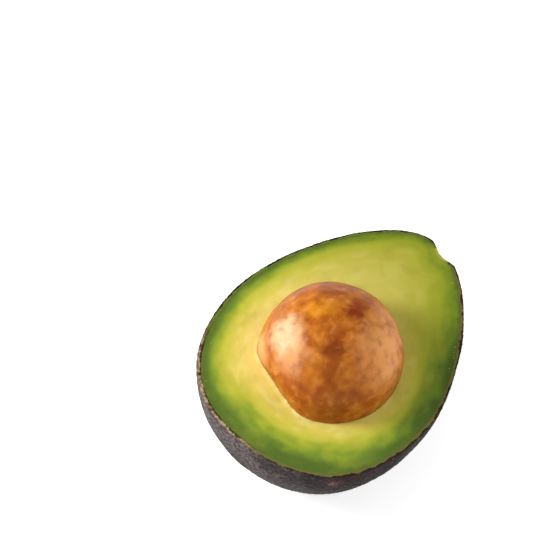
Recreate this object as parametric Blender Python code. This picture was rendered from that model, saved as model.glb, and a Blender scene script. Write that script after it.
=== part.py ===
"""Half of an avocado, cut lengthwise, with its seed still in it.

The half lies on its rounded back with the cut face level and up. +X points to the stem end, +Z is up,
and the origin is on the surface that the fruit rests on, under the middle of its bounding box.
Three solids make it: the peel is a thin shell, the flesh fills the peel and holds a round cavity,
and the seed sits in that cavity with its upper half standing out of the cut face.
Run it with: blender --background --python part.py
"""

import math

import bmesh
import bpy
from mathutils import Matrix, Vector
from mathutils.geometry import interpolate_bezier

# The fruit's outside, in metres.
LENGTH = 0.094
WIDTH = 0.072
DEPTH = 0.0375  # from the cut face down to the surface that the half rests on
WIDEST_FROM_BLOSSOM = 0.040  # the widest section's distance from the blossom end

# How full each end is: the reach of a curve handle, as a share of its side of the outline.
# "along" runs from the widest section towards the end, "across" runs out from the end's tip.
BLOSSOM_FULLNESS_ALONG = 0.58
BLOSSOM_FULLNESS_ACROSS = 0.70
STEM_FULLNESS_ALONG = 0.33
STEM_FULLNESS_ACROSS = 0.50

# The soft fruit is pressed flat where it rests.
REST_FLATTENING = 0.0004

# The layers.
PEEL_THICKNESS = 0.0012
LAYER_GAP = 0.0003  # clearance between two solids that touch

# The scar that the stem leaves, a shallow bowl beside the tip that goes through the peel.
SCAR_WIDTH = 0.0085
SCAR_DEPTH = 0.0018
SCAR_OFFSET = -0.0055  # from the fruit's long axis, along Y

# The seed, whose widest section is a little above the cut face.
SEED_LENGTH = 0.0430
SEED_WIDTH = 0.0426
SEED_HEIGHT = 0.0426
SEED_FROM_BLOSSOM = 0.0388  # its middle's distance from the blossom end
SEED_OFFSET = -0.0003  # from the fruit's long axis, along Y
SEED_RISE = 0.0027  # its middle above the cut face

# How finely round shapes are faceted.
STEPS_PER_END = 15  # stations along each end's outline
STEPS_PER_HALF_TURN = 30  # facets round the back, from rim to rim
BALL_SEGMENTS = 36
BALL_RINGS = 20
SCAR_SEGMENTS = 24
SCAR_RINGS = 16

SHARP_ANGLE = math.radians(40)
MERGE_DISTANCE = 1e-6

BLOSSOM_X = -LENGTH / 2
STEM_X = LENGTH / 2
WIDEST_X = BLOSSOM_X + WIDEST_FROM_BLOSSOM
CUT_FACE_Z = DEPTH
BELLY_DEPTH = DEPTH + REST_FLATTENING  # the back's depth before it is pressed flat


def clear_scene():
    for thing in list(bpy.data.objects):
        bpy.data.objects.remove(thing)


def outline_of_end(tip_x, along, across):
    """One side of the outline from the widest section to an end's tip, as a curve with two handles."""
    widest = Vector((WIDEST_X, WIDTH / 2, 0))
    tip = Vector((tip_x, 0, 0))
    handle_along = widest + Vector(((tip_x - WIDEST_X) * along, 0, 0))
    handle_across = tip + Vector((0, WIDTH / 2 * across, 0))
    return interpolate_bezier(widest, handle_along, handle_across, tip, STEPS_PER_END + 1)


def outer_outline():
    """The outline in the cut plane on the +Y side, from the blossom end's tip to the stem end's tip."""
    blossom = outline_of_end(BLOSSOM_X, BLOSSOM_FULLNESS_ALONG, BLOSSOM_FULLNESS_ACROSS)
    stem = outline_of_end(STEM_X, STEM_FULLNESS_ALONG, STEM_FULLNESS_ACROSS)
    return list(reversed(blossom)) + stem[1:]


def outward_normals(outline):
    """The outward direction at each outline point, which is straight along X at both tips."""
    normals = [Vector((-1, 0, 0))]
    for before, after in zip(outline, outline[2:]):
        run = (after - before).normalized()
        normals.append(Vector((-run.y, run.x, 0)))
    normals.append(Vector((1, 0, 0)))
    return normals


def inset_outline(inset):
    """The outline moved inwards by the same distance everywhere."""
    outline = outer_outline()
    return [point - normal * inset for point, normal in zip(outline, outward_normals(outline))]


def turned_body(inset, turn):
    """The outline spun round the long axis by turn, which is half a turn for a half fruit.

    The sections are ellipses, WIDTH wide and as deep as BELLY_DEPTH, and the cut plane is at CUT_FACE_Z.
    A half has its cut face filled.
    """
    body = bmesh.new()
    points = [body.verts.new(point) for point in inset_outline(inset)]
    edges = [body.edges.new(pair) for pair in zip(points, points[1:])]
    bmesh.ops.spin(
        body,
        geom=points + edges,
        cent=(0, 0, 0),
        axis=(1, 0, 0),
        dvec=(0, 0, 0),
        angle=-turn,
        steps=round(STEPS_PER_HALF_TURN * turn / math.pi),
        use_duplicate=False,
    )
    bmesh.ops.remove_doubles(body, verts=body.verts[:], dist=MERGE_DISTANCE)
    rim = [edge for edge in body.edges if edge.is_boundary]
    if rim:
        bmesh.ops.contextual_create(body, geom=rim)
    deepen = Matrix.Diagonal((1, 1, BELLY_DEPTH / (WIDTH / 2), 1))
    bmesh.ops.transform(body, matrix=Matrix.Translation((0, 0, CUT_FACE_Z)) @ deepen, verts=body.verts[:])
    bmesh.ops.recalc_face_normals(body, faces=body.faces[:])
    return body


def press_flat(body):
    """Cuts the back off level with the surface it rests on and closes it with one flat face."""
    cut = bmesh.ops.bisect_plane(
        body,
        geom=body.verts[:] + body.edges[:] + body.faces[:],
        plane_co=(0, 0, 0),
        plane_no=(0, 0, -1),
        clear_outer=True,
    )
    rim = [piece for piece in cut["geom_cut"] if isinstance(piece, bmesh.types.BMEdge)]
    bmesh.ops.contextual_create(body, geom=rim)
    bmesh.ops.recalc_face_normals(body, faces=body.faces[:])


def ball(length, width, height, centre, segments, rings):
    """An ellipsoid of the given overall sizes."""
    body = bmesh.new()
    bmesh.ops.create_uvsphere(body, u_segments=segments, v_segments=rings, radius=0.5)
    stretch = Matrix.Diagonal((length, width, height, 1))
    bmesh.ops.transform(body, matrix=Matrix.Translation(centre) @ stretch, verts=body.verts[:])
    return body


def add_object(name, body, material=None):
    """The mesh as a named object with smooth round faces and crisp edges."""
    mesh = bpy.data.meshes.new(name)
    body.to_mesh(mesh)
    body.free()
    mesh.shade_smooth()
    mesh.set_sharp_from_angle(angle=SHARP_ANGLE)
    if material:
        mesh.materials.append(material)
    made = bpy.data.objects.new(name, mesh)
    bpy.context.scene.collection.objects.link(made)
    return made


def add_cutter(name, body):
    cutter = add_object(name, body)
    cutter.hide_render = True
    cutter.display_type = "WIRE"
    return cutter


def cut(thing, cutter):
    difference = thing.modifiers.new("cut_" + cutter.name, "BOOLEAN")
    difference.operation = "DIFFERENCE"
    difference.solver = "EXACT"
    difference.object = cutter


def shade_cuts_flat(thing):
    """Lets large flat cut faces set the shading along their edges."""
    thing.modifiers.new("flat_cut_faces", "WEIGHTED_NORMAL")


def material(name, colour, roughness):
    made = bpy.data.materials.new(name)
    made.use_nodes = True
    shader = made.node_tree.nodes["Principled BSDF"]
    shader.inputs["Base Color"].default_value = (*colour, 1)
    shader.inputs["Roughness"].default_value = roughness
    shader.inputs["Metallic"].default_value = 0
    return made


def scar_ball():
    """A ball that cuts the stem scar: SCAR_WIDTH across and SCAR_DEPTH deep where it meets the fruit."""
    outline = outer_outline()
    normals = outward_normals(outline)
    stem_side = range(outline.index(max(outline, key=lambda point: point.y)), len(outline) - 1)
    crossing = next(i for i in stem_side if outline[i + 1].y <= abs(SCAR_OFFSET) <= outline[i].y)
    share = (outline[crossing].y - abs(SCAR_OFFSET)) / (outline[crossing].y - outline[crossing + 1].y)
    surface = outline[crossing].lerp(outline[crossing + 1], share)
    outwards = normals[crossing].lerp(normals[crossing + 1], share).normalized()
    radius = ((SCAR_WIDTH / 2) ** 2 + SCAR_DEPTH**2) / (2 * SCAR_DEPTH)
    centre = surface + outwards * (radius - SCAR_DEPTH)
    side = math.copysign(1, SCAR_OFFSET)
    placed = Vector((centre.x, side * centre.y, CUT_FACE_Z))
    return ball(2 * radius, 2 * radius, 2 * radius, placed, SCAR_SEGMENTS, SCAR_RINGS)


def seed_ball(clearance):
    """The seed grown by clearance on every side."""
    grow = 2 * clearance
    centre = Vector((BLOSSOM_X + SEED_FROM_BLOSSOM, SEED_OFFSET, CUT_FACE_Z + SEED_RISE))
    return ball(
        SEED_LENGTH + grow, SEED_WIDTH + grow, SEED_HEIGHT + grow, centre, BALL_SEGMENTS, BALL_RINGS
    )


def make_peel(scar):
    """The dark pebbled skin: a shell of even thickness with a level cut rim."""
    outside = turned_body(0, math.pi)
    press_flat(outside)
    peel = add_object("peel", outside, material("peel", (0.045, 0.030, 0.032), 0.45))
    cut(peel, add_cutter("peel_inside", turned_body(PEEL_THICKNESS, 2 * math.pi)))
    cut(peel, scar)
    shade_cuts_flat(peel)


def make_flesh(scar):
    """The soft flesh, flat on the cut face, with the cavity that the seed sits in."""
    body = turned_body(PEEL_THICKNESS + LAYER_GAP, math.pi)
    flesh = add_object("flesh", body, material("flesh", (0.62, 0.60, 0.12), 0.5))
    cut(flesh, add_cutter("seed_cavity", seed_ball(LAYER_GAP)))
    cut(flesh, scar)
    shade_cuts_flat(flesh)


def make_seed():
    """The large round seed with its smooth brown coat."""
    add_object("seed", seed_ball(0), material("seed", (0.42, 0.17, 0.045), 0.4))


def main():
    clear_scene()
    scar = add_cutter("stem_scar", scar_ball())
    make_peel(scar)
    make_flesh(scar)
    make_seed()


main()
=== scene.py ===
# %% [markdown]
# # Half an avocado, with its seed
#
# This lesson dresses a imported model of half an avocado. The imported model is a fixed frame: it gives the
# three pieces, peel, flesh and seed, with their true sizes and places. Each is rebuilt here as a fine
# mesh with a material made of nodes. Everything is in metres. +X points to the stem end, +Z is up, and
# the cut face is level.

# %% Load the frame
import math

import bmesh
import bpy
import numpy as np
from mathutils import Euler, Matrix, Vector, noise
from mathutils.geometry import interpolate_bezier


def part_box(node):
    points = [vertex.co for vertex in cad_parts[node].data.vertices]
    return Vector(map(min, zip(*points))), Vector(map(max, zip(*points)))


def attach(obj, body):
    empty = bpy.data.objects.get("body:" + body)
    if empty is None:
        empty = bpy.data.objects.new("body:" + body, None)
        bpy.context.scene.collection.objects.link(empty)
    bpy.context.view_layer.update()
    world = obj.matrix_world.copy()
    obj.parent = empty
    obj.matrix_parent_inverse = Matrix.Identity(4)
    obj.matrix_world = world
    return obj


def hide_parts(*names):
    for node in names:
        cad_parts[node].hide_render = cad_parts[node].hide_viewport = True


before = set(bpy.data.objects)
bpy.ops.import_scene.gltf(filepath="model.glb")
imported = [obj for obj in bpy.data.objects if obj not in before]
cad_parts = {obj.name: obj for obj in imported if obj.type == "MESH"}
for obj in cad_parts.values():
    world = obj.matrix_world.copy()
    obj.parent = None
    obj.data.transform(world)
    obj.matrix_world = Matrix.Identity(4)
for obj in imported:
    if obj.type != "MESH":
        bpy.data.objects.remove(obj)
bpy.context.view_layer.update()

peel_low, peel_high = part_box("peel")
seed_low, seed_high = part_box("seed")
print("nodes:", sorted(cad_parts))

# %% [markdown]
# ## Camera
#
# The camera looks down on the cut face from the blossom end, steeply enough that the seed shows as a
# ball and only a strip of peel shows below the rim. A long lens from well away keeps the shape free of
# strong perspective. The camera first looks straight at the middle of the cut face and rolls. Then it
# turns a little to the left and up, which puts the fruit to the right of the middle and below it.

# %% Camera
CAMERA_AZIMUTH = math.radians(-65.5)
CAMERA_ELEVATION = math.radians(57)
CAMERA_ROLL = math.radians(13)
CAMERA_DISTANCE = 0.767
LENS = 169
TURN_LEFT = math.radians(1.61)
TURN_UP = math.radians(1.27)

CUT_HEIGHT = peel_high.z
AIM = Vector((0.003, 0, CUT_HEIGHT))


def make_camera():
    back = Vector((
        math.sin(CAMERA_AZIMUTH) * math.cos(CAMERA_ELEVATION),
        -math.cos(CAMERA_AZIMUTH) * math.cos(CAMERA_ELEVATION),
        math.sin(CAMERA_ELEVATION),
    ))
    straight = (-back).to_track_quat("-Z", "Y")
    roll = Euler((0, 0, CAMERA_ROLL)).to_quaternion()
    turn = Euler((TURN_UP, TURN_LEFT, 0)).to_quaternion()
    camera = bpy.data.objects.new("camera", bpy.data.cameras.new("camera"))
    camera.data.lens = LENS
    camera.data.clip_start = 0.01
    camera.rotation_mode = "QUATERNION"
    camera.rotation_quaternion = straight @ roll @ turn
    camera.location = AIM + back * CAMERA_DISTANCE
    bpy.context.scene.collection.objects.link(camera)
    bpy.context.scene.camera = camera
    return camera


camera = make_camera()
print("camera at, mm:", [round(1000 * value) for value in camera.location])

# %% [markdown]
# ## Helpers for nodes
#
# A material is a small graph. Writing it in code is easier to read with one helper that adds a node and
# sets its values or links by name, and one that turns a colour as painters write it, in sRGB, into the
# linear numbers that the shader works in.

# %% Helpers for nodes
def paint(red, green, blue):
    """An sRGB colour from 0 to 255 as a linear colour with alpha."""
    shares = [value / 255 for value in (red, green, blue)]
    linear = [s / 12.92 if s <= 0.04045 else ((s + 0.055) / 1.055) ** 2.4 for s in shares]
    return (*linear, 1)


def add_node(tree, kind, sockets=None, **settings):
    """Adds a node, sets its settings, and sets or links its input sockets."""
    made = tree.nodes.new(kind)
    for name, value in settings.items():
        setattr(made, name, value)
    for name, value in (sockets or {}).items():
        if isinstance(value, bpy.types.NodeSocket):
            tree.links.new(value, made.inputs[name])
        else:
            made.inputs[name].default_value = value
    return made


def start_material(name, roughness):
    """A new material, its node tree and its shader."""
    material = bpy.data.materials.new(name)
    material.use_nodes = True
    shader = material.node_tree.nodes["Principled BSDF"]
    shader.inputs["Roughness"].default_value = roughness
    return material, material.node_tree, shader


def mix_colour(tree, share, first, second, blend="MIX"):
    made = add_node(tree, "ShaderNodeMix", data_type="RGBA", blend_type=blend, clamp_factor=True)
    for socket, value in ((0, share), (6, first), (7, second)):
        if isinstance(value, bpy.types.NodeSocket):
            tree.links.new(value, made.inputs[socket])
        else:
            made.inputs[socket].default_value = value
    return made.outputs[2]


def maths(tree, operation, first, second=0.0):
    made = add_node(tree, "ShaderNodeMath", operation=operation)
    for socket, value in enumerate((first, second)):
        if isinstance(value, bpy.types.NodeSocket):
            tree.links.new(value, made.inputs[socket])
        else:
            made.inputs[socket].default_value = value
    return made.outputs[0]


def vector_maths(tree, operation, sockets):
    return add_node(tree, "ShaderNodeVectorMath", sockets, operation=operation)


def fade(tree, value, start, end, low=0.0, high=1.0):
    """A smooth change from low to high while value goes from start to end."""
    made = add_node(
        tree,
        "ShaderNodeMapRange",
        {"Value": value, "From Min": start, "From Max": end, "To Min": low, "To Max": high},
        interpolation_type="SMOOTHSTEP",
    )
    return made.outputs["Result"]


def noise_value(tree, where, size, detail=2.0, roughness=0.5, distortion=0.0):
    """Cloudy noise from 0 to 1 whose clouds are about size metres across."""
    made = add_node(
        tree,
        "ShaderNodeTexNoise",
        {
            "Vector": where,
            "Scale": 1 / size,
            "Detail": detail,
            "Roughness": roughness,
            "Distortion": distortion,
        },
    )
    return made.outputs["Fac"]


def own_number(tree, name):
    """A number that the mesh stores at each of its points."""
    return add_node(tree, "ShaderNodeAttribute", attribute_name=name).outputs["Fac"]


def bump(tree, height, depth, strength):
    sockets = {"Height": height, "Distance": depth, "Strength": strength}
    return add_node(tree, "ShaderNodeBump", sockets).outputs["Normal"]


def object_place(tree):
    return add_node(tree, "ShaderNodeTexCoord").outputs["Object"]


# %% [markdown]
# ## Floor and light
#
# A pale matt floor and soft studio light keep attention on the fruit. The main light is a small panel
# close by, at the camera's upper left. It brightens that side of the seed, and the seed's soft shade
# falls on the flesh to the right. A larger panel far off on the right and a white sky lift the shadows.
# The floor glows a little itself, so that it stays white.
#
# Fruit is seen for its colour, so the picture uses the Standard view, which shows a surface's colour as
# it is painted. Blender's usual view, AgX, is made for very bright scenes and pales saturated colours.

# %% Floor and light
FLOOR_SIZE = 6
SKY_STRENGTH = 0.50
FLOOR_GLOW = 0.56
bpy.context.scene.view_settings.view_transform = "Standard"


def make_floor():
    plate = bmesh.new()
    bmesh.ops.create_grid(plate, x_segments=1, y_segments=1, size=FLOOR_SIZE / 2)
    mesh = bpy.data.meshes.new("floor")
    plate.to_mesh(mesh)
    plate.free()
    floor = bpy.data.objects.new("floor", mesh)
    material, tree, shader = start_material("floor_paint", 0.9)
    shader.inputs["Base Color"].default_value = paint(245, 245, 246)
    shader.inputs["Specular IOR Level"].default_value = 0.1
    shader.inputs["Emission Color"].default_value = (1, 1, 1, 1)
    shader.inputs["Emission Strength"].default_value = FLOOR_GLOW
    mesh.materials.append(material)
    bpy.context.scene.collection.objects.link(floor)


def make_panel(name, right, up, towards, width, height, watts):
    """A light panel placed as the camera sees it, in metres from the fruit, and aimed at it."""
    turn = camera.rotation_quaternion
    panel = bpy.data.objects.new(name, bpy.data.lights.new(name, "AREA"))
    panel.data.shape = "RECTANGLE"
    panel.data.size = width
    panel.data.size_y = height
    panel.data.energy = watts
    panel.location = AIM + turn @ Vector((right, up, towards))
    panel.rotation_mode = "QUATERNION"
    panel.rotation_quaternion = (AIM - panel.location).to_track_quat("-Z", "Y")
    bpy.context.scene.collection.objects.link(panel)


def make_sky():
    world = bpy.data.worlds.new("sky")
    world.use_nodes = True
    background = world.node_tree.nodes["Background"]
    background.inputs["Color"].default_value = (1, 1, 1, 1)
    background.inputs["Strength"].default_value = SKY_STRENGTH
    bpy.context.scene.world = world


make_floor()
make_sky()
make_panel("main_light", right=-0.27, up=0.11, towards=0.17, width=0.10, height=0.15, watts=1.08)
make_panel("right_light", right=0.8, up=0.3, towards=0.4, width=0.3, height=0.5, watts=2.2)

# %% [markdown]
# ## The fruit's shape
#
# An avocado is turned: its outline, spun round the long axis, gives the whole fruit. The outline is two
# curves with handles that meet at the widest section. One goes to the full blossom end, the other to
# the narrower stem end. The sections are stretched in depth, because the half is as deep as the frame
# says.
#
# The shape is written as one function from directions to points. A direction's angle from the long
# axis picks a place along the outline, and its turn about the axis picks the side. Any mesh of a ball
# can then be sent to the fruit's skin, or to a layer some way below it.

# %% The fruit's shape
WIDEST_FROM_BLOSSOM = 0.040
BLOSSOM_FULLNESS = (0.58, 0.70)
STEM_FULLNESS = (0.33, 0.50)
OUTLINE_POINTS = 241
REST_FLATTENING = 0.0004

HALF_WIDTH = (peel_high.y - peel_low.y) / 2
WIDEST_X = peel_low.x + WIDEST_FROM_BLOSSOM
BELLY_STRETCH = (CUT_HEIGHT - peel_low.z + REST_FLATTENING) / HALF_WIDTH


def end_outline(tip_x, fullness):
    """The outline from the widest section to a tip; fullness is the reach of the curve's handles."""
    along, across = fullness
    widest = Vector((WIDEST_X, HALF_WIDTH, 0))
    tip = Vector((tip_x, 0, 0))
    along_handle = widest + Vector(((tip_x - WIDEST_X) * along, 0, 0))
    across_handle = tip + Vector((0, HALF_WIDTH * across, 0))
    return interpolate_bezier(widest, along_handle, across_handle, tip, OUTLINE_POINTS)


blossom_side = end_outline(peel_low.x, BLOSSOM_FULLNESS)
stem_side = end_outline(peel_high.x, STEM_FULLNESS)
outline = np.array([point[:2] for point in list(reversed(blossom_side)) + stem_side[1:]])
runs = np.gradient(outline, axis=0)
outline_normals = np.stack([-runs[:, 1], runs[:, 0]], axis=1)
outline_normals /= np.linalg.norm(outline_normals, axis=1, keepdims=True)
outline_normals[0] = (-1, 0)
outline_normals[-1] = (1, 0)
steps = np.linalg.norm(np.diff(outline, axis=0), axis=1)
outline_share = np.concatenate([[0], np.cumsum(steps)]) / steps.sum()
print("outline length, mm:", round(1000 * steps.sum(), 1))

# %% [markdown]
# ## The stem scar
#
# Where the stem broke away it left a soft round dent beside the tip. In the cut face it shows as a notch
# in the rim. The dent is a bell that is deepest at its middle and meets the skin smoothly. The frame's
# scar is a ball's cut of about the same size. The skin's function takes the dent in, so peel and flesh
# both follow it. Two more helpers say which side of the fruit a point is on.

# %% The stem scar
SCAR_OFFSET = -0.0055
SCAR_REACH = 0.0066
SCAR_DENT = 0.0021

stem_half = outline[:, 0] > WIDEST_X
scar_index = np.flatnonzero(stem_half & (outline[:, 1] <= abs(SCAR_OFFSET)))[0]
scar_middle = np.array([outline[scar_index, 0], math.copysign(outline[scar_index, 1], SCAR_OFFSET), 0])


def scar_share(points):
    """1 in the middle of the scar, falling smoothly to 0 at its reach."""
    gap = np.linalg.norm(points - scar_middle, axis=1) / SCAR_REACH
    return 0.5 + 0.5 * np.cos(math.pi * np.minimum(gap, 1))


def fruit_surface(directions, inset=0.0):
    """Points and outward normals of the fruit's skin, moved inwards by inset, for unit directions."""
    share = np.arccos(np.clip(-directions[:, 0], -1, 1)) / math.pi
    along, radius = (np.interp(share, outline_share, outline[:, i]) for i in (0, 1))
    lean, out = (np.interp(share, outline_share, outline_normals[:, i]) for i in (0, 1))
    round_axis = np.maximum(np.hypot(directions[:, 1], directions[:, 2]), 1e-9)
    side, height = directions[:, 1] / round_axis, directions[:, 2] / round_axis
    points = np.stack([along, radius * side, radius * height * BELLY_STRETCH], axis=1)
    normals = np.stack([lean, out * side, out * height / BELLY_STRETCH], axis=1)
    normals /= np.linalg.norm(normals, axis=1, keepdims=True)
    inwards = inset + SCAR_DENT * scar_share(points)
    points -= normals * inwards[:, None]
    points[:, 2] += CUT_HEIGHT
    return points, normals


def away_from_middle(points):
    """Level unit directions to the points from the middle of the widest section."""
    away = points[:, :2] - [WIDEST_X, 0]
    return away / np.maximum(np.linalg.norm(away, axis=1, keepdims=True), 1e-6)


def side_share(points, side, start, full):
    """How far each point lies on one side of the fruit: 0 up to start, 1 from full, as cosines."""
    return np.clip((away_from_middle(points) @ np.array(side) - start) / (full - start), 0, 1)


print("scar middle, mm:", [round(1000 * value, 1) for value in scar_middle])

# %% [markdown]
# ## Helpers for meshes
#
# The meshes are worked out as arrays of points and made into objects in one go. Numbers that a
# material needs, such as how deep under the skin a point lies, are stored on the points as attributes.
# Fine relief is added by moving each point along its normal by a height that noise gives.

# %% Helpers for meshes
def make_object(name, points, faces, numbers=None):
    """A smooth-shaded object from points and faces, with named numbers stored on its points."""
    mesh = bpy.data.meshes.new(name)
    mesh.from_pydata(points.tolist(), [], faces)
    mesh.update()
    for number_name, values in (numbers or {}).items():
        stored = mesh.attributes.new(number_name, "FLOAT", "POINT")
        stored.data.foreach_set("value", np.asarray(values, dtype=np.float32))
    mesh.shade_smooth()
    made = bpy.data.objects.new(name, mesh)
    bpy.context.scene.collection.objects.link(made)
    return made


def noise_at(points, size, seed=0.0):
    """Cloudy noise from about -1 to 1 at each point, with clouds about size metres across."""
    shift = Vector((seed, 2 * seed, 3 * seed))
    return np.array([noise.noise(Vector(point) / size + shift) for point in points])


def pebbles_at(points, size):
    """Rounded bumps about size metres across: 1 on a bump's top and 0 in the creases between."""
    heights = np.empty(len(points))
    for index, point in enumerate(points):
        distances = noise.voronoi(Vector(point) / size)[0]
        heights[index] = min(1.0, (distances[1] - distances[0]) * 1.6)
    return heights * (2 - heights)


def round_directions(count, elevation):
    """Unit directions in a ring, at one elevation above the cut plane."""
    turns = np.arange(count) * 2 * math.pi / count
    level = math.cos(elevation)
    return np.stack(
        [level * np.cos(turns), level * np.sin(turns), np.full(count, math.sin(elevation))], axis=1
    )


def ring_faces(first, second, count):
    """Quads between two rings of count points each, whose first points have the given indices."""
    return [
        (first + i, first + (i + 1) % count, second + (i + 1) % count, second + i)
        for i in range(count)
    ]


# %% [markdown]
# ## Peel
#
# The peel is a leathery shell a little over a millimetre thick, covered in pebbles. A ball made from a
# cube has even quads all over, so its lower half carries the pebbles equally well at the ends and on
# the belly.

# %% Half a ball of even quads
PEEL_FINENESS = 150
LINING_FINENESS = 30


def half_ball(fineness):
    """Directions and faces of the lower half of a ball made from a cube, and its rim in order."""
    ball = bmesh.new()
    bmesh.ops.create_cube(ball, size=2)
    bmesh.ops.subdivide_edges(ball, edges=ball.edges[:], cuts=fineness - 1, use_grid_fill=True)
    above = [vertex for vertex in ball.verts if vertex.co.z > 0.5 / fineness]
    bmesh.ops.delete(ball, geom=above, context="VERTS")
    ball.verts.index_update()
    corners = np.array([vertex.co[:] for vertex in ball.verts])
    directions = np.tan(corners * math.pi / 4)
    directions /= np.linalg.norm(directions, axis=1, keepdims=True)
    faces = [tuple(vertex.index for vertex in face.verts) for face in ball.faces]
    rim = np.array([vertex.index for vertex in ball.verts if vertex.is_boundary])
    order = np.argsort(np.arctan2(directions[rim, 1], directions[rim, 0]))
    ball.free()
    return directions, faces, rim[order].tolist()


skin_directions, skin_faces, skin_rim = half_ball(PEEL_FINENESS)
lining_directions, lining_faces, lining_rim = half_ball(LINING_FINENESS)
print("skin points:", len(skin_directions), "rim points:", len(skin_rim))

# %% [markdown]
# ## Pebbles and rim
#
# The pebbles are real relief: each point moves along the skin's normal. The rim then steps inwards in
# small rings, rounded at its outer edge and slightly ragged, as a knife leaves it. A coarser lining
# closes the shell where nobody sees it. The mesh also stores what its material asks for: how deep in the
# peel a point is, whether it is on a pebble's top, how near the scar, and on which side.

# %% Peel mesh
PEEL_THICKNESS = 0.0012
PEBBLE_SIZE = 0.0015
PEBBLE_HEIGHT = 0.00028
SWELL_HEIGHT = 0.00025
LINING_DROP = 0.0010
RIM_ROUNDING = 0.00020
RAGGED_DEPTH = 0.00008
RUST_SPOT = (-0.0385, -0.0240, CUT_HEIGHT - 0.0045)
PALE_SIDE = (-0.85, 0.53)  # where the cut edge is tan
SHEEN_SIDE = (-0.95, 0.30)  # where the skin has a grey painted sheen, and the flesh beside it is greener


def skin_relief(points):
    """How far the skin stands out at each point, and its pebbles: 1 on their tops, 0 in the creases."""
    swells = noise_at(points, 0.011) * SWELL_HEIGHT
    pebbles = pebbles_at(points, PEBBLE_SIZE)
    patches = 0.65 + 0.35 * noise_at(points, 0.006, seed=3.1)
    return swells + (pebbles - 0.7) * PEBBLE_HEIGHT * patches, pebbles


def rim_profile():
    """Steps over the rim from its rounded outer edge to the flesh: depth under the skin, and drop."""
    rounded = []
    for turn in (0.25, 0.5, 0.75, 1.0):
        angle = turn * math.pi / 2
        rounded.append((RIM_ROUNDING * (1 - math.cos(angle)), RIM_ROUNDING * (1 - math.sin(angle))))
    middle = [(PEEL_THICKNESS * share, 0.0) for share in (0.3, 0.45, 0.6, 0.75, 0.9, 1.0)]
    return rounded + middle


def make_peel_mesh():
    points, normals = fruit_surface(skin_directions)
    relief, pebbles = skin_relief(points)
    points = points + normals * relief[:, None]
    points[:, 2] = np.maximum(points[:, 2], peel_low.z)
    count = len(skin_rim)
    rim_directions = skin_directions[skin_rim]
    rim_relief = relief[skin_rim]
    points[skin_rim, 2] -= RIM_ROUNDING
    rings = [points]
    depths = [np.zeros(len(points))]
    faces = list(skin_faces)
    last = list(skin_rim)
    ragged = noise_at(fruit_surface(rim_directions)[0], 0.0012, seed=5.0)
    for inset, drop in rim_profile():
        ring, ring_normals = fruit_surface(rim_directions, inset)
        share = inset / PEEL_THICKNESS
        ring = ring + ring_normals * (rim_relief * (1 - share))[:, None]
        ring[:, 2] = CUT_HEIGHT - drop - RAGGED_DEPTH * (1 + ragged) * math.sin(share * math.pi)
        start = sum(len(part) for part in rings)
        new = list(range(start, start + count))
        faces += [(last[i], last[(i + 1) % count], new[(i + 1) % count], new[i]) for i in range(count)]
        rings.append(ring)
        depths.append(np.full(count, share))
        last = new
    lining, _ = fruit_surface(lining_directions, PEEL_THICKNESS)
    lining[lining_rim, 2] -= LINING_DROP
    start = sum(len(part) for part in rings)
    rings.append(lining)
    depths.append(np.ones(len(lining)))
    faces += [tuple(start + i for i in reversed(face)) for face in lining_faces]
    skip = count // len(lining_rim)
    for k, low in enumerate(lining_rim):
        next_low = lining_rim[(k + 1) % len(lining_rim)]
        for i in range(skip):
            here, there = last[(k * skip + i) % count], last[(k * skip + i + 1) % count]
            faces.append((here, there, start + low))
        faces.append((last[((k + 1) * skip) % count], start + next_low, start + low))
    everything = np.concatenate(rings)
    pebble_tops = np.zeros(len(everything))
    pebble_tops[:len(points)] = pebbles
    numbers = {
        "depth_share": np.concatenate(depths),
        "pebble_top": pebble_tops,
        "pale_side": side_share(everything, PALE_SIDE, 0.78, 0.92),
        "sheen_side": side_share(everything, SHEEN_SIDE, 0.55, 0.85),
        "scar": scar_share(everything - [0, 0, CUT_HEIGHT]),
    }
    return make_object("peel_skin", everything, faces, numbers)


peel = make_peel_mesh()
print("peel faces:", len(peel.data.polygons))
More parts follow.
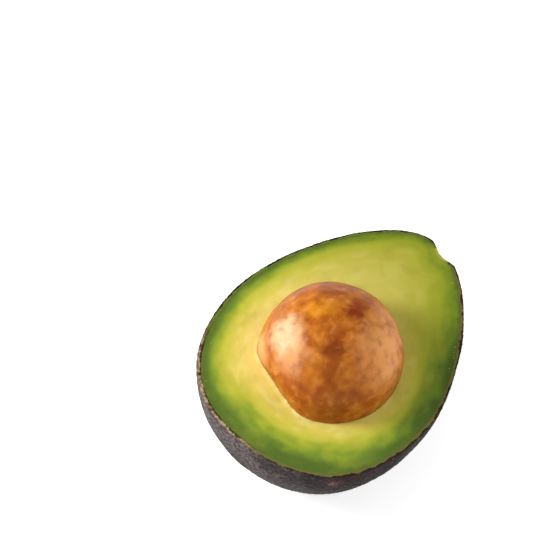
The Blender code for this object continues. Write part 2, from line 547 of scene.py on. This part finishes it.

# %% [markdown]
# ## Peel material
#
# Ripe peel is dark brown and paler on the pebbles' tops, with tiny tan flecks and one rusty spot. A grey
# painted sheen on the upper part of the blossom side stands for the reflection of the white surroundings,
# and the skin is darkened towards the bottom as painted shade. The shader's own sheen is very faint,
# because a stronger one would mirror the white floor and turn the dark skin blue. At the rim the knife
# shows the peel's thickness: dark outside, then green or brown by side, and tan in broken bits on the
# pale side. The stored depth share picks between these. In the scar the flesh is torn at the cut face and
# corky below.

# %% Peel material
def peel_material():
    material, tree, shader = start_material("peel", 0.42)
    shader.inputs["Specular IOR Level"].default_value = 0.04
    place = object_place(tree)
    clouds = noise_value(tree, place, 0.012, detail=3)
    grain = noise_value(tree, place, 0.0010, detail=5, roughness=0.6)
    skin = mix_colour(tree, fade(tree, clouds, 0.3, 0.7), paint(20, 11, 10), paint(40, 25, 22))
    tops = maths(tree, "MULTIPLY", own_number(tree, "pebble_top"), fade(tree, grain, 0.35, 0.65))
    skin = mix_colour(tree, fade(tree, tops, 0.3, 1.0, 0, 0.75), skin, paint(80, 60, 55))
    height = add_node(tree, "ShaderNodeSeparateXYZ", {0: place}).outputs["Z"]
    # painted sheen: grey on the upper blossom side, standing for the reflection of the white surroundings
    sheen_side = own_number(tree, "sheen_side")
    painted_sheen = maths(tree, "MULTIPLY", sheen_side, fade(tree, clouds, 0.35, 0.6, 0.4, 1))
    painted_sheen = maths(tree, "MULTIPLY", painted_sheen, fade(tree, grain, 0.35, 0.7, 0.05, 0.6))
    upper = fade(tree, height, CUT_HEIGHT - 0.026, CUT_HEIGHT - 0.016)
    painted_sheen = maths(tree, "MULTIPLY", painted_sheen, upper)
    skin = mix_colour(tree, painted_sheen, skin, paint(142, 132, 132))
    # painted shade: the skin is darkened towards the bottom
    lower = fade(tree, height, CUT_HEIGHT - 0.002, CUT_HEIGHT - 0.02, 0, 0.35)
    skin = mix_colour(tree, lower, skin, paint(14, 8, 8))
    flecks = noise_value(tree, place, 0.0011, detail=1)
    skin = mix_colour(tree, fade(tree, flecks, 0.70, 0.76, 0, 0.7), skin, paint(130, 98, 70))
    to_rust = vector_maths(tree, "DISTANCE", {0: place, 1: RUST_SPOT})
    rust = maths(tree, "ADD", to_rust.outputs["Value"], maths(tree, "MULTIPLY", grain, 0.005))
    skin = mix_colour(tree, fade(tree, rust, 0.0075, 0.0042, 0, 0.5), skin, paint(74, 48, 44))
    skin = mix_colour(tree, fade(tree, rust, 0.0042, 0.0030, 0, 0.6), skin, paint(148, 110, 96))

    depth = own_number(tree, "depth_share")
    coarse = maths(tree, "SUBTRACT", noise_value(tree, place, 0.0030, detail=2), 0.5)
    fine = maths(tree, "SUBTRACT", noise_value(tree, place, 0.0008, detail=3), 0.5)
    uneven = maths(tree, "ADD", depth, maths(tree, "MULTIPLY", coarse, 1.7))
    uneven = maths(tree, "ADD", uneven, maths(tree, "MULTIPLY", fine, 0.7))
    across = add_node(tree, "ShaderNodeSeparateXYZ", {0: place}).outputs["Y"]
    inner = mix_colour(tree, fade(tree, across, 0.012, -0.012), paint(96, 112, 46), paint(114, 100, 60))
    rim = mix_colour(tree, fade(tree, uneven, 0.25, 0.5), paint(50, 38, 26), inner)
    rim = mix_colour(tree, fade(tree, uneven, 0.6, 0.9), rim, paint(98, 112, 44))
    pale_side = own_number(tree, "pale_side")
    outermost = maths(tree, "MULTIPLY", pale_side, fade(tree, uneven, 1.3, 1.0))
    rim = mix_colour(tree, outermost, rim, paint(50, 36, 20))
    tan = maths(tree, "MULTIPLY", pale_side, fade(tree, uneven, 0.85, 0.6))
    tan = maths(tree, "MULTIPLY", tan, fade(tree, noise_value(tree, place, 0.0028, detail=4), 0.30, 0.50))
    tan_colour = mix_colour(
        tree, fade(tree, grain, 0.35, 0.65), paint(104, 78, 52), paint(188, 164, 130)
    )
    rim = mix_colour(tree, tan, rim, tan_colour)
    colour = mix_colour(tree, fade(tree, depth, 0.0, 0.12), skin, rim)
    scar_edge = maths(tree, "ADD", own_number(tree, "scar"), maths(tree, "MULTIPLY", fine, 0.35))
    healed = fade(tree, scar_edge, 0.35, 0.5)
    torn = mix_colour(tree, grain, paint(140, 146, 48), paint(180, 178, 80))
    cork = mix_colour(tree, grain, paint(84, 58, 34), paint(132, 100, 62))
    torn = mix_colour(tree, fade(tree, height, CUT_HEIGHT - 0.0012, CUT_HEIGHT - 0.0004), cork, torn)
    colour = mix_colour(tree, healed, colour, torn)
    tree.links.new(colour, shader.inputs["Base Color"])
    tree.links.new(fade(tree, grain, 0.3, 0.7, 0.42, 0.62), shader.inputs["Roughness"])
    tree.links.new(bump(tree, grain, 0.00016, 0.9), shader.inputs["Normal"])
    return material


peel.data.materials.append(peel_material())
print("peel material nodes:", len(peel.data.materials[0].node_tree.nodes))

# %% [markdown]
# ## Seed
#
# The seed is a ball with a little character: it is flatter on the side where it leaned against the
# flesh, slightly lumpy, and its thin coat is wrinkled. Its surface is again a function of direction,
# because the flesh has to follow it round the cavity.

# %% Seed mesh
SEED_FINENESS = 76
FLAT_SIDE = Vector((-0.86, 0.35, -0.37)).normalized()
FLAT_DEPTH = 0.0036
FLAT_BLEND = 24
LUMP_HEIGHT = 0.00035
WRINKLE_HEIGHT = 0.00007

seed_middle = np.array((seed_low + seed_high) / 2)
seed_half = np.array((seed_high - seed_low) / 2)


def seed_surface(directions, clearance=0.0):
    """Points of the seed's skin, grown by clearance, for unit directions from its middle."""
    facing = np.maximum(directions @ np.array(FLAT_SIDE), 0.3)
    flat_radius = (1 - FLAT_DEPTH / seed_half[0]) / facing
    radius = (1 + flat_radius**-FLAT_BLEND) ** (-1 / FLAT_BLEND)
    lumps = noise_at(directions, 0.55, seed=1.7) * LUMP_HEIGHT / seed_half[0]
    points = directions * (seed_half + clearance) * (radius + lumps)[:, None]
    return points + seed_middle


def whole_ball(fineness):
    """Directions and faces of a ball made from a cube."""
    ball = bmesh.new()
    bmesh.ops.create_cube(ball, size=2)
    bmesh.ops.subdivide_edges(ball, edges=ball.edges[:], cuts=fineness - 1, use_grid_fill=True)
    ball.verts.index_update()
    directions = np.tan(np.array([vertex.co[:] for vertex in ball.verts]) * math.pi / 4)
    directions /= np.linalg.norm(directions, axis=1, keepdims=True)
    faces = [tuple(vertex.index for vertex in face.verts) for face in ball.faces]
    ball.free()
    return directions, faces


def make_seed_mesh():
    directions, faces = whole_ball(SEED_FINENESS)
    points = seed_surface(directions)
    wrinkles = noise_at(points, 0.0022, seed=4.0) + 0.6 * noise_at(points, 0.0009, seed=6.0)
    points = points + directions * (wrinkles * WRINKLE_HEIGHT)[:, None]
    points[:, 2] = np.minimum(points[:, 2], seed_high.z)
    return make_object("seed_body", points, faces)


seed = make_seed_mesh()
print("seed faces:", len(seed.data.polygons))

# %% [markdown]
# ## Seed material
#
# The seed's coat is brown paper over a pale kernel: orange where it is thin, dark red-brown where it
# folds or is bruised, and pale where it is rubbed. Clouds of noise at two sizes mottle it, and a few
# patches have chosen places. Each patch is a direction from the seed's middle, a radius, a colour and a
# strength, and its edge is bent by noise. The last patch is a painted highlight, near-white where the
# main light shines, and one pale patch on the right is partly a painted sheen. The coat is satin.

# %% Seed material
PATCH_BEND = 0.007
SEED_PATCHES_AND_HIGHLIGHTS = [
    ((0.20, -0.73, 0.65), 0.0110, (240, 166, 96), 0.9),
    # pale coat, and partly a painted sheen where the right light falls
    ((0.62, -0.55, 0.56), 0.0080, (238, 160, 100), 0.8),
    ((-0.20, -0.70, 0.69), 0.0060, (220, 138, 70), 0.7),
    ((0.80, -0.58, 0.20), 0.0040, (124, 66, 40), 0.7),
    ((-0.77, -0.53, 0.35), 0.0080, (156, 82, 20), 0.7),
    ((-0.92, -0.03, 0.40), 0.0055, (172, 86, 16), 0.75),
    ((-0.75, 0.20, 0.63), 0.0060, (220, 154, 104), 0.8),
    ((0.45, 0.35, 0.82), 0.0060, (160, 82, 18), 0.8),
    ((0.05, 0.50, 0.86), 0.0045, (188, 104, 18), 0.7),
    ((-0.05, 0.33, 0.94), 0.0035, (216, 138, 20), 0.8),
    ((0.08, 0.16, 0.98), 0.0030, (204, 128, 20), 0.7),
    ((0.19, -0.13, 0.97), 0.0034, (120, 34, 6), 0.85),
    ((0.36, -0.05, 0.93), 0.0030, (136, 50, 10), 0.8),
    ((-0.42, -0.20, 0.88), 0.0042, (114, 40, 10), 0.85),
    ((-0.22, -0.12, 0.97), 0.0034, (142, 62, 14), 0.7),
    ((-0.58, -0.36, 0.73), 0.0044, (146, 74, 20), 0.7),
    ((-0.62, 0.76, 0.16), 0.0062, (242, 184, 124), 0.7),
    ((-0.88, 0.44, -0.10), 0.0045, (232, 184, 112), 0.6),
    ((-0.97, 0.18, -0.12), 0.0045, (222, 160, 90), 0.6),
    # painted highlight: near-white where the main light shines on the seed
    ((-0.53, 0.48, 0.70), 0.0062, (250, 208, 160), 0.85),
]


def seed_material():
    material, tree, shader = start_material("seed", 0.4)
    shader.inputs["Specular IOR Level"].default_value = 0.12
    place = object_place(tree)
    warp = add_node(tree, "ShaderNodeTexNoise", {"Vector": place, "Scale": 300, "Detail": 3.0})
    centred = vector_maths(tree, "SUBTRACT", {0: warp.outputs["Color"], 1: (0.5, 0.5, 0.5)})
    pushed = vector_maths(tree, "SCALE", {0: centred.outputs[0], "Scale": PATCH_BEND})
    moved = vector_maths(tree, "ADD", {0: place, 1: pushed.outputs[0]}).outputs[0]
    clouds = noise_value(tree, moved, 0.0055, detail=3)
    mottle = noise_value(tree, place, 0.0032, detail=3, roughness=0.45)
    colour = mix_colour(tree, fade(tree, clouds, 0.35, 0.65), paint(166, 84, 14), paint(202, 120, 34))
    for direction, radius, shade, strength in SEED_PATCHES_AND_HIGHLIGHTS:
        on_seed = seed_middle + np.array(Vector(direction).normalized()) * seed_half
        gap = vector_maths(tree, "DISTANCE", {0: moved, 1: tuple(on_seed)}).outputs["Value"]
        covered = fade(tree, gap, radius * 1.35, radius * 0.3, 0, strength)
        colour = mix_colour(tree, covered, colour, paint(*shade))
    colour = mix_colour(tree, fade(tree, clouds, 0.45, 0.75, 0, 0.35), colour, paint(136, 58, 10))
    colour = mix_colour(tree, fade(tree, mottle, 0.45, 0.80, 0, 0.5), colour, paint(120, 48, 8))
    colour = mix_colour(tree, fade(tree, mottle, 0.50, 0.20, 0, 0.4), colour, paint(236, 164, 76))
    tree.links.new(colour, shader.inputs["Base Color"])
    tree.links.new(fade(tree, clouds, 0.3, 0.7, 0.36, 0.48), shader.inputs["Roughness"])
    tree.links.new(bump(tree, mottle, 0.00022, 0.6), shader.inputs["Normal"])
    return material


seed.data.materials.append(seed_material())
print("seed material nodes:", len(seed.data.materials[0].node_tree.nodes))

# %% [markdown]
# ## Flesh
#
# The flesh is buttery. The knife leaves its face almost flat, but not quite: it swells a little and rises
# to a soft lip against the seed's flat side. It is built as rings of points, from under the peel, over
# the rim, across the face, over the lip and down into the cavity, so the face gets many fine rings and
# the hidden sides only a few. First come its sizes, and three helpers for the numbers that it stores.

# %% Flesh sizes and numbers
FLESH_POINTS = 480
FACE_RINGS = 84
HIDDEN_RINGS = 14
FLESH_EDGE = 0.00006
SEED_CLEARANCE = 0.00003
HIDDEN_GAP = 0.0003  # between the layers below the cut face, as in the frame
RIM_GAP = 0.00002  # between peel and flesh at the cut face
LIP_HEIGHT = 0.00045
LIP_WIDTH = 0.0009
LIP_LEAN = 0.15
FACE_SWELL = 0.00014
FACE_RIPPLE = 0.00004
RIPE_SIDE = (0.34, 0.94)
UNRIPE_PACE = 0.40
RIPE_PACE = 0.95

FLESH_INSET = PEEL_THICKNESS + RIM_GAP


def brush_marks(points, depth):
    """Noise drawn out along the rim, like the marks that a knife leaves."""
    return noise_at(np.column_stack([away_from_middle(points) * 6, depth * 500]), 1.0, seed=11.0)


def ripeness_at(points):
    """How fast the green turns yellow with depth: fast on the riper side and slower on the other."""
    facing = away_from_middle(points) @ np.array(RIPE_SIDE)
    return UNRIPE_PACE + (RIPE_PACE - UNRIPE_PACE) * np.clip((facing + 0.05) / 0.8, 0, 1)


def nearest_outline_distance(points):
    """How far each point is, in the cut plane, from the flesh's rim."""
    rim, _ = fruit_surface(round_directions(720, 0), FLESH_INSET)
    gaps = np.empty(len(points))
    for start in range(0, len(points), 4000):
        block = points[start:start + 4000, None, :2] - rim[None, :, :2]
        gaps[start:start + 4000] = np.sqrt((block**2).sum(axis=2)).min(axis=1)
    return gaps


print("flesh starts under the skin at, mm:", round(1000 * FLESH_INSET, 2))

# %% [markdown]
# ## Rings of flesh
#
# The flesh is one closed skin of rings. The hidden rings, under the peel and inside the cavity, keep the
# frame's gap to their neighbours. Only the rings at the cut face come closer, so that no dark line shows.

# %% Flesh mesh
def cavity_edge():
    """The ring where the seed leaves the cut face, at the same turns as the flesh's rim."""
    turns = np.arange(FLESH_POINTS) * 2 * math.pi / FLESH_POINTS
    height = (CUT_HEIGHT - seed_middle[2]) / seed_half[2]
    level = math.sqrt(1 - height**2)
    return np.stack([level * np.cos(turns), level * np.sin(turns), np.full_like(turns, height)], axis=1)


def make_flesh_mesh():
    rings = []
    for k in range(HIDDEN_RINGS, 0, -1):
        elevation = -math.pi / 2 * k / (HIDDEN_RINGS + 1)
        ring, _ = fruit_surface(round_directions(FLESH_POINTS, elevation), PEEL_THICKNESS + HIDDEN_GAP)
        rings.append(ring)
    rim, _ = fruit_surface(round_directions(FLESH_POINTS, 0), FLESH_INSET)
    low = rim.copy()
    low[:, 2] -= FLESH_EDGE
    rings.append(low)
    edge_directions = cavity_edge()
    edge = seed_surface(edge_directions, SEED_CLEARANCE)
    facing = edge_directions @ np.array(FLAT_SIDE)
    torn = (0.6 + 0.9 * noise_at(edge, 0.0016, seed=9.0)).clip(0.15, 1)
    lip_share = np.clip((facing - 0.5) / 0.35, 0, 1) * torn
    lip_numbers = []
    for k in range(FACE_RINGS + 1):
        share = k / FACE_RINGS
        ring = rim * (1 - share) + edge * share
        to_peel = np.linalg.norm(ring - rim, axis=1)
        to_seed = np.linalg.norm(ring - edge, axis=1)
        swell = noise_at(ring, 0.009, seed=2.2) * FACE_SWELL + noise_at(ring, 0.0022, seed=8.1) * FACE_RIPPLE
        calm = np.clip(to_peel / 0.002, 0, 1) * np.clip(to_seed / 0.001, 0, 1)
        lip = LIP_HEIGHT * lip_share * np.exp(-(to_seed / LIP_WIDTH) ** 2)
        lip_numbers.append(lip_share * np.exp(-(to_seed / LIP_WIDTH) ** 2))
        rounding = FLESH_EDGE * np.exp(-(to_peel / 0.0002) ** 2)
        away = ring[:, :2] - seed_middle[:2]
        away /= np.linalg.norm(away, axis=1, keepdims=True)
        ring[:, :2] += away * (lip * LIP_LEAN)[:, None]
        ring[:, 2] = CUT_HEIGHT + swell * calm + lip - rounding
        rings.append(ring)
    for k in range(1, HIDDEN_RINGS + 1):
        start = math.asin(edge_directions[0, 2])
        elevation = start - (start + math.pi / 2) * k / (HIDDEN_RINGS + 1)
        rings.append(seed_surface(round_directions(FLESH_POINTS, elevation), HIDDEN_GAP))
    bottom_depth = HALF_WIDTH * BELLY_STRETCH - PEEL_THICKNESS - HIDDEN_GAP
    bottom = np.array([[WIDEST_X, 0, CUT_HEIGHT - bottom_depth]])
    cavity_bottom = seed_surface(np.array([[0.0, 0.0, -1.0]]), HIDDEN_GAP)
    points = np.concatenate([*rings, bottom, cavity_bottom])
    faces = []
    for k in range(len(rings) - 1):
        faces += ring_faces(k * FLESH_POINTS, (k + 1) * FLESH_POINTS, FLESH_POINTS)
    last = (len(rings) - 1) * FLESH_POINTS
    under, inside = len(points) - 2, len(points) - 1
    faces += [((i + 1) % FLESH_POINTS, i, under) for i in range(FLESH_POINTS)]
    faces += [(last + i, last + (i + 1) % FLESH_POINTS, inside) for i in range(FLESH_POINTS)]
    closest = nearest_outline_distance(points)
    lip_values = np.zeros(len(points))
    first_face_point = (HIDDEN_RINGS + 1) * FLESH_POINTS
    face_points = len(lip_numbers) * FLESH_POINTS
    lip_values[first_face_point:first_face_point + face_points] = np.concatenate(lip_numbers)
    numbers = {
        "from_peel": closest * 1000,
        "from_seed": (np.linalg.norm((points - seed_middle)[:, :2], axis=1) - seed_half[0]) * 1000,
        "ripeness": ripeness_at(points),
        "lip": lip_values,
        "brush": brush_marks(points, closest),
        "scar": scar_share(points - [0, 0, CUT_HEIGHT]),
        "pale_side": side_share(points, SHEEN_SIDE, 0.5, 0.85),
    }
    return make_object("flesh_body", points, faces, numbers)


flesh = make_flesh_mesh()
print("flesh faces:", len(flesh.data.polygons))

# %% [markdown]
# ## Flesh material
#
# Under the peel the flesh is dark green, then it turns yellow-green, and by the seed it is pale butter
# yellow. The stored distances from the peel and the seed drive a colour ramp. The green turns yellow
# sooner on the riper side, and noise and the knife's marks bend the bands so that they wander as they do
# in the fruit. Towards the stem the flesh is more olive and darker, the darkening being painted shade.
# Beside the peel it has brown smudges, and pale specks that are crumbs and painted wet glints. Light
# passes into it, so it has a little subsurface scattering, and its sheen is faint.

# %% Flesh material
FLESH_BANDS = [
    (0.0, (82, 105, 34)),
    (0.7, (88, 113, 34)),
    (1.5, (108, 133, 40)),
    (2.6, (146, 163, 44)),
    (4.0, (188, 188, 60)),
    (6.0, (210, 200, 80)),
    (9.0, (224, 206, 98)),
    (13.0, (234, 213, 114)),
]
BAND_REACH = 15.0


def flesh_material():
    material, tree, shader = start_material("flesh", 0.4)
    place = object_place(tree)
    depth = own_number(tree, "from_peel")
    wander = maths(tree, "SUBTRACT", noise_value(tree, place, 0.012, detail=3), 0.5)
    streaks = maths(tree, "SUBTRACT", noise_value(tree, place, 0.0030, detail=4, roughness=0.6), 0.5)
    reach = maths(tree, "MULTIPLY", depth, own_number(tree, "ripeness"))
    reach = maths(tree, "ADD", reach, maths(tree, "MULTIPLY", own_number(tree, "scar"), 4.5))
    apart = add_node(tree, "ShaderNodeSeparateXYZ", {0: place}).outputs
    towards_stem = maths(tree, "SUBTRACT", apart["X"], maths(tree, "MULTIPLY", apart["Y"], 0.35))
    reach = maths(tree, "ADD", reach, fade(tree, apart["X"], -0.010, 0.035, 0, 1.5))
    reach = maths(tree, "SUBTRACT", reach, maths(tree, "MULTIPLY", own_number(tree, "pale_side"), 0.6))
    near_seed = own_number(tree, "from_seed")
    reach = maths(tree, "ADD", reach, fade(tree, near_seed, 8.0, 1.0, 0, 3.0))
    bent = maths(tree, "ADD", reach, maths(tree, "MULTIPLY", wander, 2.4))
    bent = maths(tree, "ADD", bent, maths(tree, "MULTIPLY", streaks, 1.0))
    bent = maths(tree, "ADD", bent, maths(tree, "MULTIPLY", own_number(tree, "brush"), 0.7))
    ramp = add_node(
        tree, "ShaderNodeValToRGB", {"Fac": maths(tree, "DIVIDE", bent, BAND_REACH)}
    )
    bands = ramp.color_ramp
    while len(bands.elements) < len(FLESH_BANDS):
        bands.elements.new(0.5)
    for element, (distance, colour) in zip(bands.elements, FLESH_BANDS):
        element.position = distance / BAND_REACH
        element.color = paint(*colour)
    colour = mix_colour(
        tree, fade(tree, near_seed, 3.0, 0.2, 0, 0.2), ramp.outputs["Color"], paint(232, 216, 128)
    )
    blotches = noise_value(tree, place, 0.0060, detail=2)
    colour = mix_colour(tree, fade(tree, blotches, 0.48, 0.72, 0, 0.22), colour, paint(150, 150, 50))
    strokes = fade(tree, own_number(tree, "brush"), 0.0, 0.5, 0, 0.3)
    strokes = maths(tree, "MULTIPLY", strokes, fade(tree, bent, 4.0, 9.0))
    colour = mix_colour(tree, strokes, colour, paint(242, 226, 142))
    # olive colour and painted shade: greener and darker towards the stem
    olive_and_shade = fade(tree, towards_stem, -0.022, 0.036)
    colour = mix_colour(tree, olive_and_shade, colour, paint(204, 214, 170), blend="MULTIPLY")
    smudges = fade(tree, noise_value(tree, place, 0.0042, detail=3), 0.52, 0.66, 0, 0.6)
    bruise = maths(tree, "MULTIPLY", smudges, fade(tree, maths(tree, "ADD", depth, streaks), 1.3, 0.1))
    colour = mix_colour(tree, bruise, colour, paint(96, 82, 38))
    # pale specks near the rim: crumbs, and painted wet glints
    specks_and_glints = fade(tree, noise_value(tree, place, 0.0009, detail=2), 0.70, 0.76)
    near_rim = fade(tree, depth, 2.6, 0.6)
    colour = mix_colour(tree, maths(tree, "MULTIPLY", specks_and_glints, near_rim), colour, paint(190, 196, 104))
    colour = mix_colour(tree, own_number(tree, "lip"), colour, paint(236, 222, 150))
    tree.links.new(colour, shader.inputs["Base Color"])
    shader.inputs["Subsurface Weight"].default_value = 0.15
    shader.inputs["Subsurface Scale"].default_value = 0.002
    shader.inputs["Subsurface Radius"].default_value = (1.0, 0.8, 0.3)
    grain = noise_value(tree, place, 0.0009, detail=4)
    tree.links.new(fade(tree, grain, 0.3, 0.7, 0.42, 0.58), shader.inputs["Roughness"])
    tree.links.new(bump(tree, grain, 0.00008, 0.7), shader.inputs["Normal"])
    shader.inputs["Specular IOR Level"].default_value = 0.2
    return material


flesh.data.materials.append(flesh_material())
print("flesh material nodes:", len(flesh.data.materials[0].node_tree.nodes))

# %% [markdown]
# ## Put the pieces in the frame
#
# Each fine piece rides on the fruit's one body, and the imported solid that it stands for is hidden.

# %% Put the pieces in the frame
for piece, node_name in ((peel, "peel"), (flesh, "flesh"), (seed, "seed")):
    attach(piece, "root")
    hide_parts(node_name)
